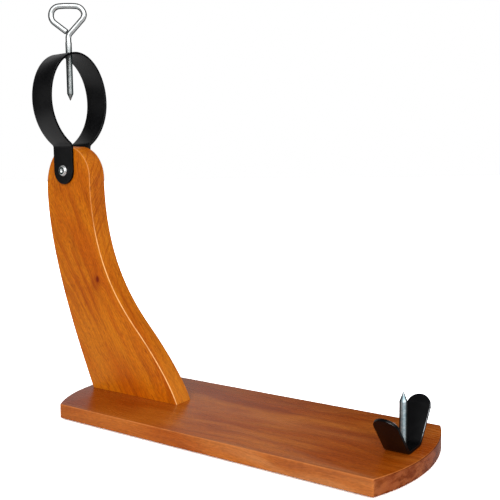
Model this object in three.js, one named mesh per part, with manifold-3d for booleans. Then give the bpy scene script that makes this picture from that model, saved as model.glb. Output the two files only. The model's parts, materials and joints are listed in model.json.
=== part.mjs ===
/**
 * Ham holder stand: a wooden base board with a curved wooden arm at one end and a spiked steel cradle at
 * the other. A steel collar is clamped to the top of the arm and an eye screw runs through its crown.
 *
 * Millimetres, +Z up. The origin is on the ground, under the middle of the whole stand; +X runs from the
 * arm towards the cradle, and +Y away from the face that shows the head of the clamp bolt.
 */
import * as THREE from 'three';
import { mergeVertices } from 'three/addons/utils/BufferGeometryUtils.js';
import Module from 'manifold-3d';

const wasm = await Module();
wasm.setup();

// ---------------------------------------------------------------- driving dimensions

const SEAT_GAP = 0.1; // between two pieces that rest flat on each other
const FIT_GAP = 0.3; // around a rod in its hole, and beside a piece that turns
const ALLOWANCE = 1; // how far a cutter runs past the face it starts from
const ARC_SEGMENTS = 16; // on each curve of a wooden outline
const STRIP_ARC_SEGMENTS = 12; // on each curve of a bent strip's centreline
const ROUND_SEGMENTS = 24; // round a whole turn of a bolt, washer or foot
const WIRE_SEGMENTS = 6; // round half the eye's wire
const WIRE_STEPS = 64; // along the eye's wire

const FOOT = { radius: 10, height: 2, insetX: 45, insetY: 25 };

const BOARD = {
  length: 400,
  width: 150,
  thickness: 15,
  centreX: 28.2,
  armEndBow: 25.6,
  cradleEndBow: 16.8,
  cornerTrim: 3,
  easing: 1,
};
const BOARD_UNDERSIDE = FOOT.height;
const BOARD_TOP = BOARD_UNDERSIDE + BOARD.thickness;

// The arm's outline is drawn from its foot, as [x, height]. Its cradle side curves both ways and changes
// from one curve to the other at the waist. The back of its head is a taller quarter than the front.
const ARM = {
  thickness: 23,
  easing: 1.2,
  headX: -193.9,
  headHeight: 236.4,
  headRadius: 35.3,
  backHeadRadius: 34.3,
  backShoulderDrop: 12,
  heel: [-162.9, 0],
  toe: [-40, 0],
  waist: [-94.2, 73.1],
  toePulls: [[-49.2, 23.2], [-77.9, 56.4]],
  waistPull: [-130, 109.9],
  frontPullHeight: 156.8,
  backPullHeight: 149.4,
  heelPull: [-188.1, 55.8],
};

// The clamp bolt goes through the head of the arm. The collar hangs on it and carries the eye screw.
const CLAMP = { x: -197, z: 261.6 };
const CLAMP_BOLT = {
  radius: 3,
  flangeRadius: 6,
  flangeThickness: 1,
  flangeEasing: 0.3,
  headRadius: 5.3,
  headHeight: 2.4,
  crown: [[0.7, 1], [0.9, 0.85], [1, 0.6]], // the button's profile, as shares of its radius and height
  pastNut: 1.8,
};
const CLAMP_SOCKET = { acrossFlats: 4, depth: 1.4 };
const CLAMP_WASHER = { outerRadius: 6, innerRadius: 3.3, thickness: 1.6 };
const CLAMP_NUT = { acrossFlats: 10, height: 5, holeRadius: 3.3, chamfer: 0.8 };

// Heights of the collar are above the clamp bolt; its ring is an ellipse above two flatter flanks.
const COLLAR = {
  width: 30,
  thickness: 2.5,
  widestHeight: 78.4,
  halfWidth: 40.5,
  crownRise: 51.4,
  flankRadius: 58.8,
  bendLength: 5,
};

// Heights of the eye screw are above the clamp bolt too.
const EYE_SCREW = {
  radius: 3.5,
  wireRadius: 3.15,
  tipHeight: 78.8,
  coneLength: 7.3,
  threadEndHeight: 143.5,
  threadEndSlope: 0.8,
  turnDegrees: 34,
};
const EYE_LOOP = {
  crownHeight: 183.4,
  shoulderHeight: 181.7,
  left: -18.6,
  right: 18.4,
  leftKneeHeight: 167.4,
  rightKneeHeight: 170.4,
  neckHeight: 150.7,
  freeEnd: [-1.6, 154.3],
  crownTrim: 8,
  cornerTrim: 9.5,
  kneeTrim: 4.5,
  neckTrim: 4,
};

const CRADLE = {
  x: 204.8,
  width: 22.4,
  thickness: 2.8,
  floorHalfWidth: 12.8,
  wingLength: 46.4,
  leanDegrees: 39.8,
  bendLength: 2.6,
};
const SPIKE = { radius: 3.5, tipZ: 67.2, coneLength: 8, coneRadius: 3.4, shoulder: 0.4, endZ: 2.6 };
const SPIKE_WASHER = { outerRadius: 7, innerRadius: 3.8, thickness: 1.4 };
const SPIKE_NUT = { acrossFlats: 11, height: 5, holeRadius: 3.8, chamfer: 0.8 };
const SPIKE_POCKET = { radius: 8.5, depth: 7.8 };

const ARM_BOLT = {
  radius: 3,
  headRadius: 5,
  headHeight: 5.6,
  headEasing: 0.4,
  reach: 24,
  drillPastTip: 2,
  places: [-131.5, -75.5],
};
const ARM_BOLT_SOCKET = { acrossFlats: 5, depth: 3 };
const ARM_BOLT_WASHER = { outerRadius: 6, innerRadius: 3.3, thickness: 1.6 };
const ARM_BOLT_POCKET = { radius: 7, depth: 8 };
const INSERT = { outerRadius: 4.5, innerRadius: 3.3, length: 15 };
const SCREW_END_EASING = 0.6; // on the far end of every threaded rod

// ---------------------------------------------------------------- finishes

const varnishedWood = new THREE.MeshStandardMaterial({ color: 0xb9671f, roughness: 0.35, metalness: 0 });
const boardWood = new THREE.MeshStandardMaterial({ color: 0x8f4a20, roughness: 0.28, metalness: 0 });
const blackPaint = new THREE.MeshStandardMaterial({ color: 0x1b1b1d, roughness: 0.42, metalness: 0 });
const zincPlate = new THREE.MeshStandardMaterial({ color: 0xb9bfc4, roughness: 0.28, metalness: 1 });
const brass = new THREE.MeshStandardMaterial({ color: 0xb08d45, roughness: 0.4, metalness: 1 });
const rubber = new THREE.MeshStandardMaterial({ color: 0x242424, roughness: 0.85, metalness: 0 });

// ---------------------------------------------------------------- joining and cutting

/** A geometry as a solid that can be joined and cut. */
function solid(geometry) {
  const bare = geometry.clone();
  bare.deleteAttribute('normal');
  bare.deleteAttribute('uv');
  const merged = mergeVertices(bare, 1e-4);
  const corners = merged.index.array;
  const triangles = [];
  for (let i = 0; i < corners.length; i += 3) {
    const [a, b, c] = [corners[i], corners[i + 1], corners[i + 2]];
    if (a !== b && b !== c && c !== a) triangles.push(a, b, c);
  }
  const vertProperties = new Float32Array(merged.attributes.position.array);
  const triVerts = new Uint32Array(triangles);
  return new wasm.Manifold(new wasm.Mesh({ numProp: 3, vertProperties, triVerts }));
}

/** A solid back as a geometry. */
function surface(body) {
  const mesh = body.getMesh();
  const geometry = new THREE.BufferGeometry();
  geometry.setAttribute('position', new THREE.BufferAttribute(new Float32Array(mesh.vertProperties), 3));
  geometry.setIndex(new THREE.BufferAttribute(new Uint32Array(mesh.triVerts), 1));
  return geometry;
}

/** The base geometry with every cutter taken out of it. */
function cut(base, cutters) {
  let body = solid(base);
  for (const cutter of cutters) body = body.subtract(solid(cutter));
  return surface(body);
}

// ---------------------------------------------------------------- basic shapes

/** A slab of the given outline with its lower face at z = 0, and its arrises eased. */
function slab(outline, thickness, easing = 0) {
  const geometry = new THREE.ExtrudeGeometry(outline, {
    depth: thickness - 2 * easing,
    curveSegments: ARC_SEGMENTS,
    bevelEnabled: easing > 0,
    bevelThickness: easing,
    bevelSize: easing,
    bevelOffset: -easing,
    bevelSegments: 1,
  });
  return geometry.translate(0, 0, easing);
}

/** A slab drawn in the XZ plane, centred on y = 0. */
function uprightSlab(outline, thickness, easing) {
  return slab(outline, thickness, easing).rotateX(Math.PI / 2).translate(0, thickness / 2, 0);
}

/** A profile of [radius, height] pairs turned about Z, closed where it meets the axis. */
function turned(profile) {
  const points = profile.map(([radius, height]) => new THREE.Vector2(radius, height));
  return new THREE.LatheGeometry(points, ROUND_SEGMENTS).rotateX(Math.PI / 2);
}

/** A round bar along Z between two heights. */
function bar(radius, bottom, top) {
  return turned([[0, bottom], [radius, bottom], [radius, top], [0, top]]);
}

/** A flat ring with its lower face at z = 0. */
function ring({ outerRadius, innerRadius, thickness }) {
  const lower = [[innerRadius, 0], [outerRadius, 0]];
  const upper = [[outerRadius, thickness], [innerRadius, thickness]];
  return turned([...lower, ...upper, lower[0]]);
}

/** A hexagonal bar along Z, from z = 0. */
function hexagon(acrossFlats, height) {
  const radius = acrossFlats / Math.sqrt(3);
  const corners = [];
  for (let side = 0; side < 6; side += 1) {
    const angle = (side * Math.PI) / 3;
    corners.push(new THREE.Vector2(radius * Math.cos(angle), radius * Math.sin(angle)));
  }
  return slab(new THREE.Shape(corners), height);
}

/** A hexagon nut with both ends chamfered and a plain hole, its lower face at z = 0. */
function nut({ acrossFlats, height, holeRadius, chamfer }) {
  const corner = acrossFlats / Math.sqrt(3);
  const faceRadius = corner - chamfer;
  const chamferRadius = corner + FIT_GAP;
  const lower = [[0, 0], [faceRadius, 0], [chamferRadius, chamfer]];
  const upper = [[chamferRadius, height - chamfer], [faceRadius, height], [0, height]];
  const blank = solid(hexagon(acrossFlats, height)).intersect(solid(turned([...lower, ...upper])));
  return surface(blank.subtract(solid(bar(holeRadius, -ALLOWANCE, height + ALLOWANCE))));
}

/** A strip of sheet that follows a centreline in the XY plane, as an outline. */
function stripOutline(centreline, thickness) {
  const left = [];
  const right = [];
  centreline.forEach((point, i) => {
    const before = centreline[Math.max(i - 1, 0)];
    const after = centreline[Math.min(i + 1, centreline.length - 1)];
    const along = after.clone().sub(before).normalize();
    const across = new THREE.Vector2(-along.y, along.x).multiplyScalar(thickness / 2);
    left.push(point.clone().add(across));
    right.push(point.clone().sub(across));
  });
  return new THREE.Shape([...left, ...right.reverse()]);
}

/** The right half of a centreline and its mirror image as one line, without repeated points. */
function mirrored(half) {
  const tooClose = 0.05;
  const right = half.filter((point, i) => i === 0 || point.distanceTo(half[i - 1]) > tooClose);
  const offAxis = right.filter((point) => point.x > tooClose);
  return [...right, ...offAxis.reverse().map((point) => new THREE.Vector2(-point.x, point.y))];
}

/** A strip bent in the YZ plane, as wide as asked along X and centred on x = 0. */
function bentStrip(centreline, thickness, width) {
  const turn = new THREE.Matrix4().makeBasis(
    new THREE.Vector3(0, 1, 0), new THREE.Vector3(0, 0, 1), new THREE.Vector3(1, 0, 0),
  );
  return slab(stripOutline(centreline, thickness), width).applyMatrix4(turn).translate(-width / 2, 0, 0);
}

/** What is cut away to round the end of a strip: the strip runs along +Z, its faces look along Y. */
function endCutter(width, reach) {
  const block = new THREE.BoxGeometry(1.5 * width, reach, width).translate(0, 0, width / 2);
  const clearOfTheSides = 0.02;
  const rounding = bar(width / 2 + clearOfTheSides, -reach, reach).rotateX(Math.PI / 2);
  return surface(solid(block).subtract(solid(rounding)));
}

// ---------------------------------------------------------------- wooden parts

/** The board seen from above: straight long sides, two bowed ends and slightly rounded corners. */
function boardOutline() {
  const { length, width, armEndBow, cradleEndBow, cornerTrim } = BOARD;
  const half = width / 2;
  const outline = new THREE.Shape();
  const bowedEnd = (side, bow) => {
    const radius = (half * half + bow * bow) / (2 * bow);
    const middle = side > 0 ? 0 : Math.PI;
    const cornerAngle = Math.asin(half / radius);
    const arcAngle = cornerAngle - cornerTrim / radius;
    const cornerX = side * (length / 2 - bow);
    const cornerY = side * half;
    const straightX = cornerX - side * cornerTrim;
    const centreX = side * (length / 2 - radius);
    const arcStartX = centreX + radius * Math.cos(middle - arcAngle);
    const arcStartY = radius * Math.sin(middle - arcAngle);
    if (outline.curves.length > 0) outline.lineTo(straightX, -cornerY);
    else outline.moveTo(straightX, -cornerY);
    outline.quadraticCurveTo(cornerX, -cornerY, arcStartX, arcStartY);
    outline.absarc(centreX, 0, radius, middle - arcAngle, middle + arcAngle, false);
    outline.quadraticCurveTo(cornerX, cornerY, straightX, cornerY);
  };
  bowedEnd(1, cradleEndBow);
  bowedEnd(-1, armEndBow);
  return outline;
}

function baseBoard() {
  const underside = -ALLOWANCE;
  const through = BOARD.thickness + ALLOWANCE;
  const spikeX = CRADLE.x - BOARD.centreX;
  const cutters = [
    bar(SPIKE.radius + FIT_GAP, underside, through).translate(spikeX, 0, 0),
    bar(SPIKE_POCKET.radius, underside, SPIKE_POCKET.depth).translate(spikeX, 0, 0),
  ];
  for (const place of ARM_BOLT.places) {
    const boltX = place - BOARD.centreX;
    cutters.push(bar(ARM_BOLT.radius + FIT_GAP, underside, through).translate(boltX, 0, 0));
    cutters.push(bar(ARM_BOLT_POCKET.radius, underside, ARM_BOLT_POCKET.depth).translate(boltX, 0, 0));
  }
  return cut(slab(boardOutline(), BOARD.thickness, BOARD.easing), cutters);
}

/** The arm from the side, its height measured from its foot. */
function armOutline() {
  const { headX, headHeight, headRadius, backHeadRadius, backShoulderDrop, heel, toe, waist, toePulls } = ARM;
  const frontX = headX + headRadius;
  const backX = headX - backHeadRadius;
  const shoulderHeight = headHeight - backShoulderDrop;
  const outline = new THREE.Shape();
  outline.moveTo(...heel);
  outline.lineTo(...toe);
  outline.bezierCurveTo(...toePulls[0], ...toePulls[1], ...waist);
  outline.bezierCurveTo(...ARM.waistPull, frontX, ARM.frontPullHeight, frontX, headHeight);
  outline.absarc(headX, headHeight, headRadius, 0, Math.PI / 2, false);
  outline.absellipse(
    headX, shoulderHeight, backHeadRadius, headRadius + backShoulderDrop, Math.PI / 2, Math.PI, false, 0,
  );
  outline.bezierCurveTo(backX, ARM.backPullHeight, ...ARM.heelPull, ...heel);
  return outline;
}

function arm() {
  const footZ = BOARD_TOP + SEAT_GAP;
  const clampHole = bar(CLAMP_BOLT.radius + FIT_GAP, -ARM.thickness, ARM.thickness).rotateX(Math.PI / 2);
  const cutters = [clampHole.translate(CLAMP.x, 0, CLAMP.z - footZ)];
  for (const place of ARM_BOLT.places) {
    const insertHole = bar(INSERT.outerRadius + FIT_GAP, -ALLOWANCE, INSERT.length + 2 * FIT_GAP);
    const boltHole = bar(ARM_BOLT.radius + FIT_GAP, -ALLOWANCE, ARM_BOLT.reach + ARM_BOLT.drillPastTip);
    cutters.push(insertHole.translate(place, 0, 0), boltHole.translate(place, 0, 0));
  }
  return cut(uprightSlab(armOutline(), ARM.thickness, ARM.easing), cutters);
}

// ---------------------------------------------------------------- collar and eye screw

const LEG_Y = ARM.thickness / 2 + FIT_GAP + COLLAR.thickness / 2;
const CLAMP_FACE = LEG_Y + COLLAR.thickness / 2 + FIT_GAP;

/** Half of the collar's centreline, from the end of a leg up to the crown, with the clamp bolt at 0, 0. */
function collarHalf() {
  const { widestHeight, halfWidth, crownRise, flankRadius, bendLength, width } = COLLAR;
  const flankCentre = halfWidth - flankRadius;
  const kinkAngle = -Math.acos((LEG_Y - flankCentre) / flankRadius);
  const kinkHeight = widestHeight + flankRadius * Math.sin(kinkAngle);
  const startAngle = kinkAngle + bendLength / flankRadius;
  const half = new THREE.Path();
  half.moveTo(LEG_Y, -width / 2 - ALLOWANCE);
  half.lineTo(LEG_Y, kinkHeight - bendLength);
  half.quadraticCurveTo(
    LEG_Y, kinkHeight,
    flankCentre + flankRadius * Math.cos(startAngle), widestHeight + flankRadius * Math.sin(startAngle),
  );
  half.absarc(flankCentre, widestHeight, flankRadius, startAngle, 0, false);
  half.absellipse(0, widestHeight, halfWidth, crownRise, 0, Math.PI / 2, false, 0);
  return half.getPoints(STRIP_ARC_SEGMENTS);
}

function collarStrap() {
  const strap = bentStrip(mirrored(collarHalf()), COLLAR.thickness, COLLAR.width);
  const boltHole = bar(CLAMP_BOLT.radius + FIT_GAP, -2 * LEG_Y, 2 * LEG_Y).rotateX(Math.PI / 2);
  const crown = COLLAR.widestHeight + COLLAR.crownRise;
  const screwHole = bar(EYE_SCREW.radius + FIT_GAP, COLLAR.widestHeight, crown + COLLAR.thickness);
  const legEnds = endCutter(COLLAR.width, 4 * LEG_Y).rotateY(Math.PI);
  return cut(strap, [boltHole, screwHole, legEnds]);
}

/** The bent wire of the eye, from its free end round to the top of the screw, in the XZ plane. */
function eyeWirePath() {
  const { crownHeight, shoulderHeight, left, right, leftKneeHeight, rightKneeHeight, neckHeight } = EYE_LOOP;
  const { freeEnd, crownTrim, cornerTrim, kneeTrim, neckTrim } = EYE_LOOP;
  const corners = [
    { at: new THREE.Vector3(left, 0, leftKneeHeight), trim: kneeTrim },
    { at: new THREE.Vector3(left, 0, shoulderHeight), trim: cornerTrim },
    { at: new THREE.Vector3(0, 0, crownHeight), trim: crownTrim },
    { at: new THREE.Vector3(right, 0, shoulderHeight), trim: cornerTrim },
    { at: new THREE.Vector3(right, 0, rightKneeHeight), trim: kneeTrim },
    { at: new THREE.Vector3(0, 0, neckHeight), trim: neckTrim },
  ];
  const end = new THREE.Vector3(0, 0, EYE_SCREW.threadEndHeight - ALLOWANCE);
  const path = new THREE.CurvePath();
  let from = new THREE.Vector3(freeEnd[0], 0, freeEnd[1]);
  corners.forEach(({ at, trim }, i) => {
    const next = i + 1 < corners.length ? corners[i + 1].at : end;
    const bendStart = at.clone().add(from.clone().sub(at).setLength(trim));
    const bendEnd = at.clone().add(next.clone().sub(at).setLength(trim));
    path.add(new THREE.LineCurve3(from, bendStart));
    path.add(new THREE.QuadraticBezierCurve3(bendStart, at, bendEnd));
    from = bendEnd;
  });
  path.add(new THREE.LineCurve3(from, end));
  return path;
}

function eyeScrew() {
  const { radius, wireRadius, tipHeight, coneLength, threadEndHeight, threadEndSlope } = EYE_SCREW;
  const wireSection = new THREE.Shape().absarc(0, 0, wireRadius, 0, 2 * Math.PI, false);
  const eye = new THREE.ExtrudeGeometry(wireSection, {
    steps: WIRE_STEPS,
    curveSegments: WIRE_SEGMENTS,
    extrudePath: eyeWirePath(),
    bevelEnabled: false,
  });
  const aroundTheWire = wireRadius + 0.05;
  const screw = turned([
    [0, tipHeight], [radius, tipHeight + coneLength], [radius, threadEndHeight - threadEndSlope],
    [aroundTheWire, threadEndHeight], [0, threadEndHeight],
  ]);
  return surface(solid(screw).add(solid(eye)));
}

// ---------------------------------------------------------------- cradle

/** Half of the cradle plate's centreline: floor, bend and one leaning wing, from z = 0 at its underside. */
function cradleHalf() {
  const { thickness, floorHalfWidth, wingLength, leanDegrees, bendLength } = CRADLE;
  const lean = THREE.MathUtils.degToRad(leanDegrees);
  const wing = new THREE.Vector2(Math.sin(lean), Math.cos(lean));
  const kink = new THREE.Vector2(floorHalfWidth, thickness / 2);
  const bendEnd = kink.clone().addScaledVector(wing, bendLength);
  const tip = kink.clone().addScaledVector(wing, wingLength + ALLOWANCE);
  const half = new THREE.Path();
  half.moveTo(tip.x, tip.y);
  half.lineTo(bendEnd.x, bendEnd.y);
  half.quadraticCurveTo(kink.x, kink.y, kink.x - bendLength, kink.y);
  return half.getPoints(STRIP_ARC_SEGMENTS / 2);
}

function cradlePlate() {
  const { thickness, width, floorHalfWidth, wingLength, leanDegrees } = CRADLE;
  const lean = THREE.MathUtils.degToRad(leanDegrees);
  const plate = bentStrip(mirrored(cradleHalf()), thickness, width);
  const arcCentre = wingLength - width / 2;
  const wingEnd = (side) => endCutter(width, 4 * thickness)
    .translate(0, 0, arcCentre)
    .rotateX(-side * lean)
    .translate(0, side * floorHalfWidth, thickness / 2);
  const spikeHole = bar(SPIKE.radius + FIT_GAP, -ALLOWANCE, thickness + ALLOWANCE);
  return cut(plate, [wingEnd(1), wingEnd(-1), spikeHole]);
}

function spike() {
  const { radius, tipZ, coneLength, coneRadius, shoulder, endZ } = SPIKE;
  const coneZ = tipZ - coneLength;
  const foot = [[0, endZ], [radius - SCREW_END_EASING, endZ], [radius, endZ + SCREW_END_EASING]];
  return turned([...foot, [radius, coneZ - shoulder], [coneRadius, coneZ], [0, tipZ]]);
}

// ---------------------------------------------------------------- fasteners and feet

/** A screw along Z: its head below z = 0 with a hexagon socket in it, its shank above. */
function socketScrew(headProfile, headHeight, radius, length, socket) {
  const shank = [[radius, 0], [radius, length - SCREW_END_EASING], [radius - SCREW_END_EASING, length]];
  const body = turned([[0, -headHeight], ...headProfile, ...shank, [0, length]]);
  const recess = hexagon(socket.acrossFlats, socket.depth + ALLOWANCE);
  return cut(body, [recess.translate(0, 0, -headHeight - ALLOWANCE)]);
}

function clampBolt() {
  const { radius, flangeRadius, flangeThickness, flangeEasing, headRadius, headHeight, crown } = CLAMP_BOLT;
  const button = crown.map(([outwards, upwards]) => [outwards * headRadius, -upwards * headHeight]);
  const flange = [
    [headRadius, -flangeThickness], [flangeRadius - flangeEasing, -flangeThickness],
    [flangeRadius, flangeEasing - flangeThickness], [flangeRadius, 0],
  ];
  const length = 2 * CLAMP_FACE + CLAMP_WASHER.thickness + SEAT_GAP + CLAMP_NUT.height + CLAMP_BOLT.pastNut;
  return socketScrew([...button, ...flange], headHeight, radius, length, CLAMP_SOCKET);
}

function armBolt() {
  const { radius, headRadius, headHeight, headEasing, reach } = ARM_BOLT;
  const easedRim = [[headRadius - headEasing, -headHeight], [headRadius, headEasing - headHeight]];
  const length = ARM_BOLT_WASHER.thickness + 2 * SEAT_GAP + BOARD.thickness - ARM_BOLT_POCKET.depth + reach;
  return socketScrew([...easedRim, [headRadius, 0]], headHeight, radius, length, ARM_BOLT_SOCKET);
}

// ---------------------------------------------------------------- assembly

const stand = new THREE.Group();

function place(parent, name, geometry, material, x, y, z) {
  const mesh = new THREE.Mesh(geometry, material);
  mesh.name = name;
  mesh.position.set(x, y, z);
  parent.add(mesh);
  return mesh;
}

place(stand, 'base_board', baseBoard(), boardWood, BOARD.centreX, 0, BOARD_UNDERSIDE);
place(stand, 'arm', arm(), varnishedWood, 0, 0, BOARD_TOP + SEAT_GAP);

const collar = new THREE.Group();
collar.position.set(CLAMP.x, 0, CLAMP.z);
stand.add(collar);
place(collar, 'collar_strap', collarStrap(), blackPaint, 0, 0, 0);
const screw = place(collar, 'eye_screw', eyeScrew(), zincPlate, 0, 0, 0);
screw.rotation.z = THREE.MathUtils.degToRad(EYE_SCREW.turnDegrees);

// The clamp bolt's group has its local Z along the bolt, from the head side to the nut side.
const clamp = new THREE.Group();
clamp.position.set(CLAMP.x, 0, CLAMP.z);
clamp.rotation.x = -Math.PI / 2;
stand.add(clamp);
place(clamp, 'clamp_bolt', clampBolt(), zincPlate, 0, 0, -CLAMP_FACE);
place(clamp, 'clamp_washer', ring(CLAMP_WASHER), zincPlate, 0, 0, CLAMP_FACE);
place(clamp, 'clamp_nut', nut(CLAMP_NUT), zincPlate, 0, 0, CLAMP_FACE + CLAMP_WASHER.thickness + SEAT_GAP);

const spikePocketTop = BOARD_UNDERSIDE + SPIKE_POCKET.depth;
const spikeWasherZ = spikePocketTop - SEAT_GAP - SPIKE_WASHER.thickness;
const spikeNutZ = spikeWasherZ - SEAT_GAP - SPIKE_NUT.height;
place(stand, 'cradle_plate', cradlePlate(), blackPaint, CRADLE.x, 0, BOARD_TOP + SEAT_GAP);
place(stand, 'spike', spike(), zincPlate, CRADLE.x, 0, 0);
place(stand, 'spike_washer', ring(SPIKE_WASHER), zincPlate, CRADLE.x, 0, spikeWasherZ);
place(stand, 'spike_nut', nut(SPIKE_NUT), zincPlate, CRADLE.x, 0, spikeNutZ);

const armPocketTop = BOARD_UNDERSIDE + ARM_BOLT_POCKET.depth;
const armWasherZ = armPocketTop - SEAT_GAP - ARM_BOLT_WASHER.thickness;
ARM_BOLT.places.forEach((x, i) => {
  place(stand, `arm_bolt_${i + 1}`, armBolt(), zincPlate, x, 0, armWasherZ - SEAT_GAP);
  place(stand, `arm_bolt_washer_${i + 1}`, ring(ARM_BOLT_WASHER), zincPlate, x, 0, armWasherZ);
  const insert = ring({ ...INSERT, thickness: INSERT.length });
  place(stand, `arm_insert_${i + 1}`, insert, brass, x, 0, BOARD_TOP + 2 * SEAT_GAP);
});

const footX = BOARD.length / 2 - FOOT.insetX;
const footY = BOARD.width / 2 - FOOT.insetY;
const corners = { arm_front: [-1, -1], arm_back: [-1, 1], cradle_front: [1, -1], cradle_back: [1, 1] };
for (const [corner, [sideX, sideY]] of Object.entries(corners)) {
  const pad = bar(FOOT.radius, 0, FOOT.height - SEAT_GAP);
  place(stand, `foot_${corner}`, pad, rubber, BOARD.centreX + sideX * footX, sideY * footY, 0);
}

export default stand;
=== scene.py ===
"""Ham holder stand: a varnished board and arm, a black steel collar with an eye screw, and a spiked cradle.

Lengths in the tables of driving dimensions are millimetres. Bodies are built in millimetres and placed by
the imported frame, in metres. Places in materials are metres too, because they are read in the frame's axes.
"""
import json
import math

import bmesh
import bpy
from mathutils import Matrix, Vector

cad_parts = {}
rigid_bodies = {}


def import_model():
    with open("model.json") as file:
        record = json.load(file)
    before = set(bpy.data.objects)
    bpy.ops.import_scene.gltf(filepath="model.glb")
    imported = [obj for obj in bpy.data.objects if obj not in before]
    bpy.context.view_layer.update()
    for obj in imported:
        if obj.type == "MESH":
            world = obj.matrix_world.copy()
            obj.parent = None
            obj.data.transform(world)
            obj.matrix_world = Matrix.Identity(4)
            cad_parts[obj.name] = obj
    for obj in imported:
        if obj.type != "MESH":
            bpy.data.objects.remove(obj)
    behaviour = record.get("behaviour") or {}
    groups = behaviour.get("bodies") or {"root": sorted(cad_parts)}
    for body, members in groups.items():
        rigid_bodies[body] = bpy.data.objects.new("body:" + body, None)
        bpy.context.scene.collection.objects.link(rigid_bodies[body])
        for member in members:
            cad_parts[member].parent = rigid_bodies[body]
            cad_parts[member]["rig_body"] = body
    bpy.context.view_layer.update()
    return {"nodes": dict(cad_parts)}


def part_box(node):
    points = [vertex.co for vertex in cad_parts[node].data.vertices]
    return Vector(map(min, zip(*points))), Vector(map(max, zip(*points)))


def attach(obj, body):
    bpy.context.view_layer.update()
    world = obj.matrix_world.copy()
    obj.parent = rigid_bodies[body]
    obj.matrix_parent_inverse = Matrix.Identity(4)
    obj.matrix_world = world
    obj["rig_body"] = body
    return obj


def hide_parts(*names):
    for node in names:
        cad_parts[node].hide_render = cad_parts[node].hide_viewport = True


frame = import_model()

MM = 0.001

# ---------------------------------------------------------------- driving dimensions, in millimetres

BOARD = {"arm_end_bow": 25.6, "cradle_end_bow": 16.8, "corner_trim": 3.0, "arris": 0.9}
BOARD_POCKETS = {"arm_bolt": (7.0, 8.0), "spike": (8.5, 7.8)}  # radius and depth from the underside
ARM_CURVE = {  # x from the middle of the stand, height above the foot
    "head_radius": 35.3,
    "back_head_radius": 34.3,
    "back_shoulder_drop": 12.0,
    "heel": (-162.9, 0.0),
    "toe": (-40.0, 0.0),
    "waist": (-94.2, 73.1),
    "toe_pulls": ((-49.2, 23.2), (-77.9, 56.4)),
    "waist_pull": (-130.0, 109.9),
    "front_pull_height": 156.8,
    "back_pull_height": 149.4,
    "heel_pull": (-188.1, 55.8),
}
ARM_ARRIS = 0.9
COLLAR = {
    "thickness": 2.5,
    "widest": 78.4,
    "half_width": 40.5,
    "crown_rise": 51.4,
    "flank_radius": 58.8,
    "bend": 5.0,
}
COLLAR_LEG_GAP = 0.3  # between a leg and the arm
STRIP_ARRIS = 0.35
CRADLE = {"thickness": 2.8, "floor_half": 12.8, "wing": 46.4, "lean": 39.8, "bend_radius": 5.46}
SCREW = {"radius": 3.5, "wire": 3.15, "cone": 7.3, "thread_end": 143.5, "turn": 34.0}
EYE = {
    "crown": 183.4,
    "shoulder": 181.7,
    "left": -18.6,
    "right": 18.4,
    "left_knee": 167.4,
    "right_knee": 170.4,
    "neck": 150.7,
    "free_end": (-1.6, 154.3),
    "crown_radius": 110.0,
    "corner_radius": 10.0,
    "knee_radius": 9.5,
    "neck_radius": 8.0,
}
SPIKE = {"radius": 3.5, "cone": 8.0}
THREAD = {"pitch": 1.0, "depth": 0.04, "rings_per_turn": 8}
ROD_HOLE = SPIKE["radius"] + 0.3
BOLT_HOLE = 3.3
CLAMP_BOLT = {"head": 2.4, "flange": 1.0, "button": 5.3, "flat": 0.7, "shank": 3.0, "socket": (4.0, 1.4)}
ARM_BOLT = {"head": 5.6, "shank": 3.0, "socket": (5.0, 3.0)}  # a socket is its size across flats and depth
NUT_CHAMFER = 0.7
SAME_POINT = 1e-4

# ---------------------------------------------------------------- flat curves


def arc(centre, radius, start, end, steps):
    """Points on a circle from one angle to another, both included."""
    angles = [start + (end - start) * i / steps for i in range(steps + 1)]
    return [(centre[0] + radius * math.cos(a), centre[1] + radius * math.sin(a)) for a in angles]


def bezier(p0, p1, p2, p3, steps):
    """Points on a cubic curve, both ends included."""
    points = []
    for i in range(steps + 1):
        t = i / steps
        weights = ((1 - t) ** 3, 3 * (1 - t) ** 2 * t, 3 * (1 - t) * t * t, t**3)
        points.append(tuple(sum(w * p[k] for w, p in zip(weights, (p0, p1, p2, p3))) for k in range(2)))
    return points


def joined(*runs, closed=True):
    """Several runs of points as one, without the points where they meet twice."""
    points = []
    for run in runs:
        for point in run:
            if not points or math.dist(point, points[-1]) > SAME_POINT:
                points.append(point)
    if closed and math.dist(points[0], points[-1]) < SAME_POINT:
        points.pop()
    return points


def filleted(corners, radii, arc_step):
    """A line through corners, each turned with its own radius; the first and last points are ends."""
    points = [corners[0]]
    for before, at, after, radius in zip(corners, corners[1:], corners[2:], radii):
        back = (Vector(before) - Vector(at)).normalized()
        ahead = (Vector(after) - Vector(at)).normalized()
        half_angle = back.angle(ahead) / 2
        trim = radius / math.tan(half_angle)
        centre = Vector(at) + (back + ahead).normalized() * (radius / math.sin(half_angle))
        start = Vector(at) + back * trim - centre
        sweep = math.pi - 2 * half_angle
        turn = math.copysign(sweep, back.x * ahead.y - back.y * ahead.x) * -1
        steps = max(2, math.ceil(radius * sweep / arc_step))
        for i in range(steps + 1):
            spoke = Matrix.Rotation(turn * i / steps, 2) @ start
            points.append(tuple(centre + spoke))
    points.append(corners[-1])
    return points


def resampled(points, step):
    """The same line with a point at least every step."""
    dense = [Vector(points[0])]
    for point in points[1:]:
        start, end = dense[-1], Vector(point)
        pieces = max(1, math.ceil((end - start).length / step))
        dense += [start.lerp(end, i / pieces) for i in range(1, pieces + 1)]
    return dense


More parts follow.
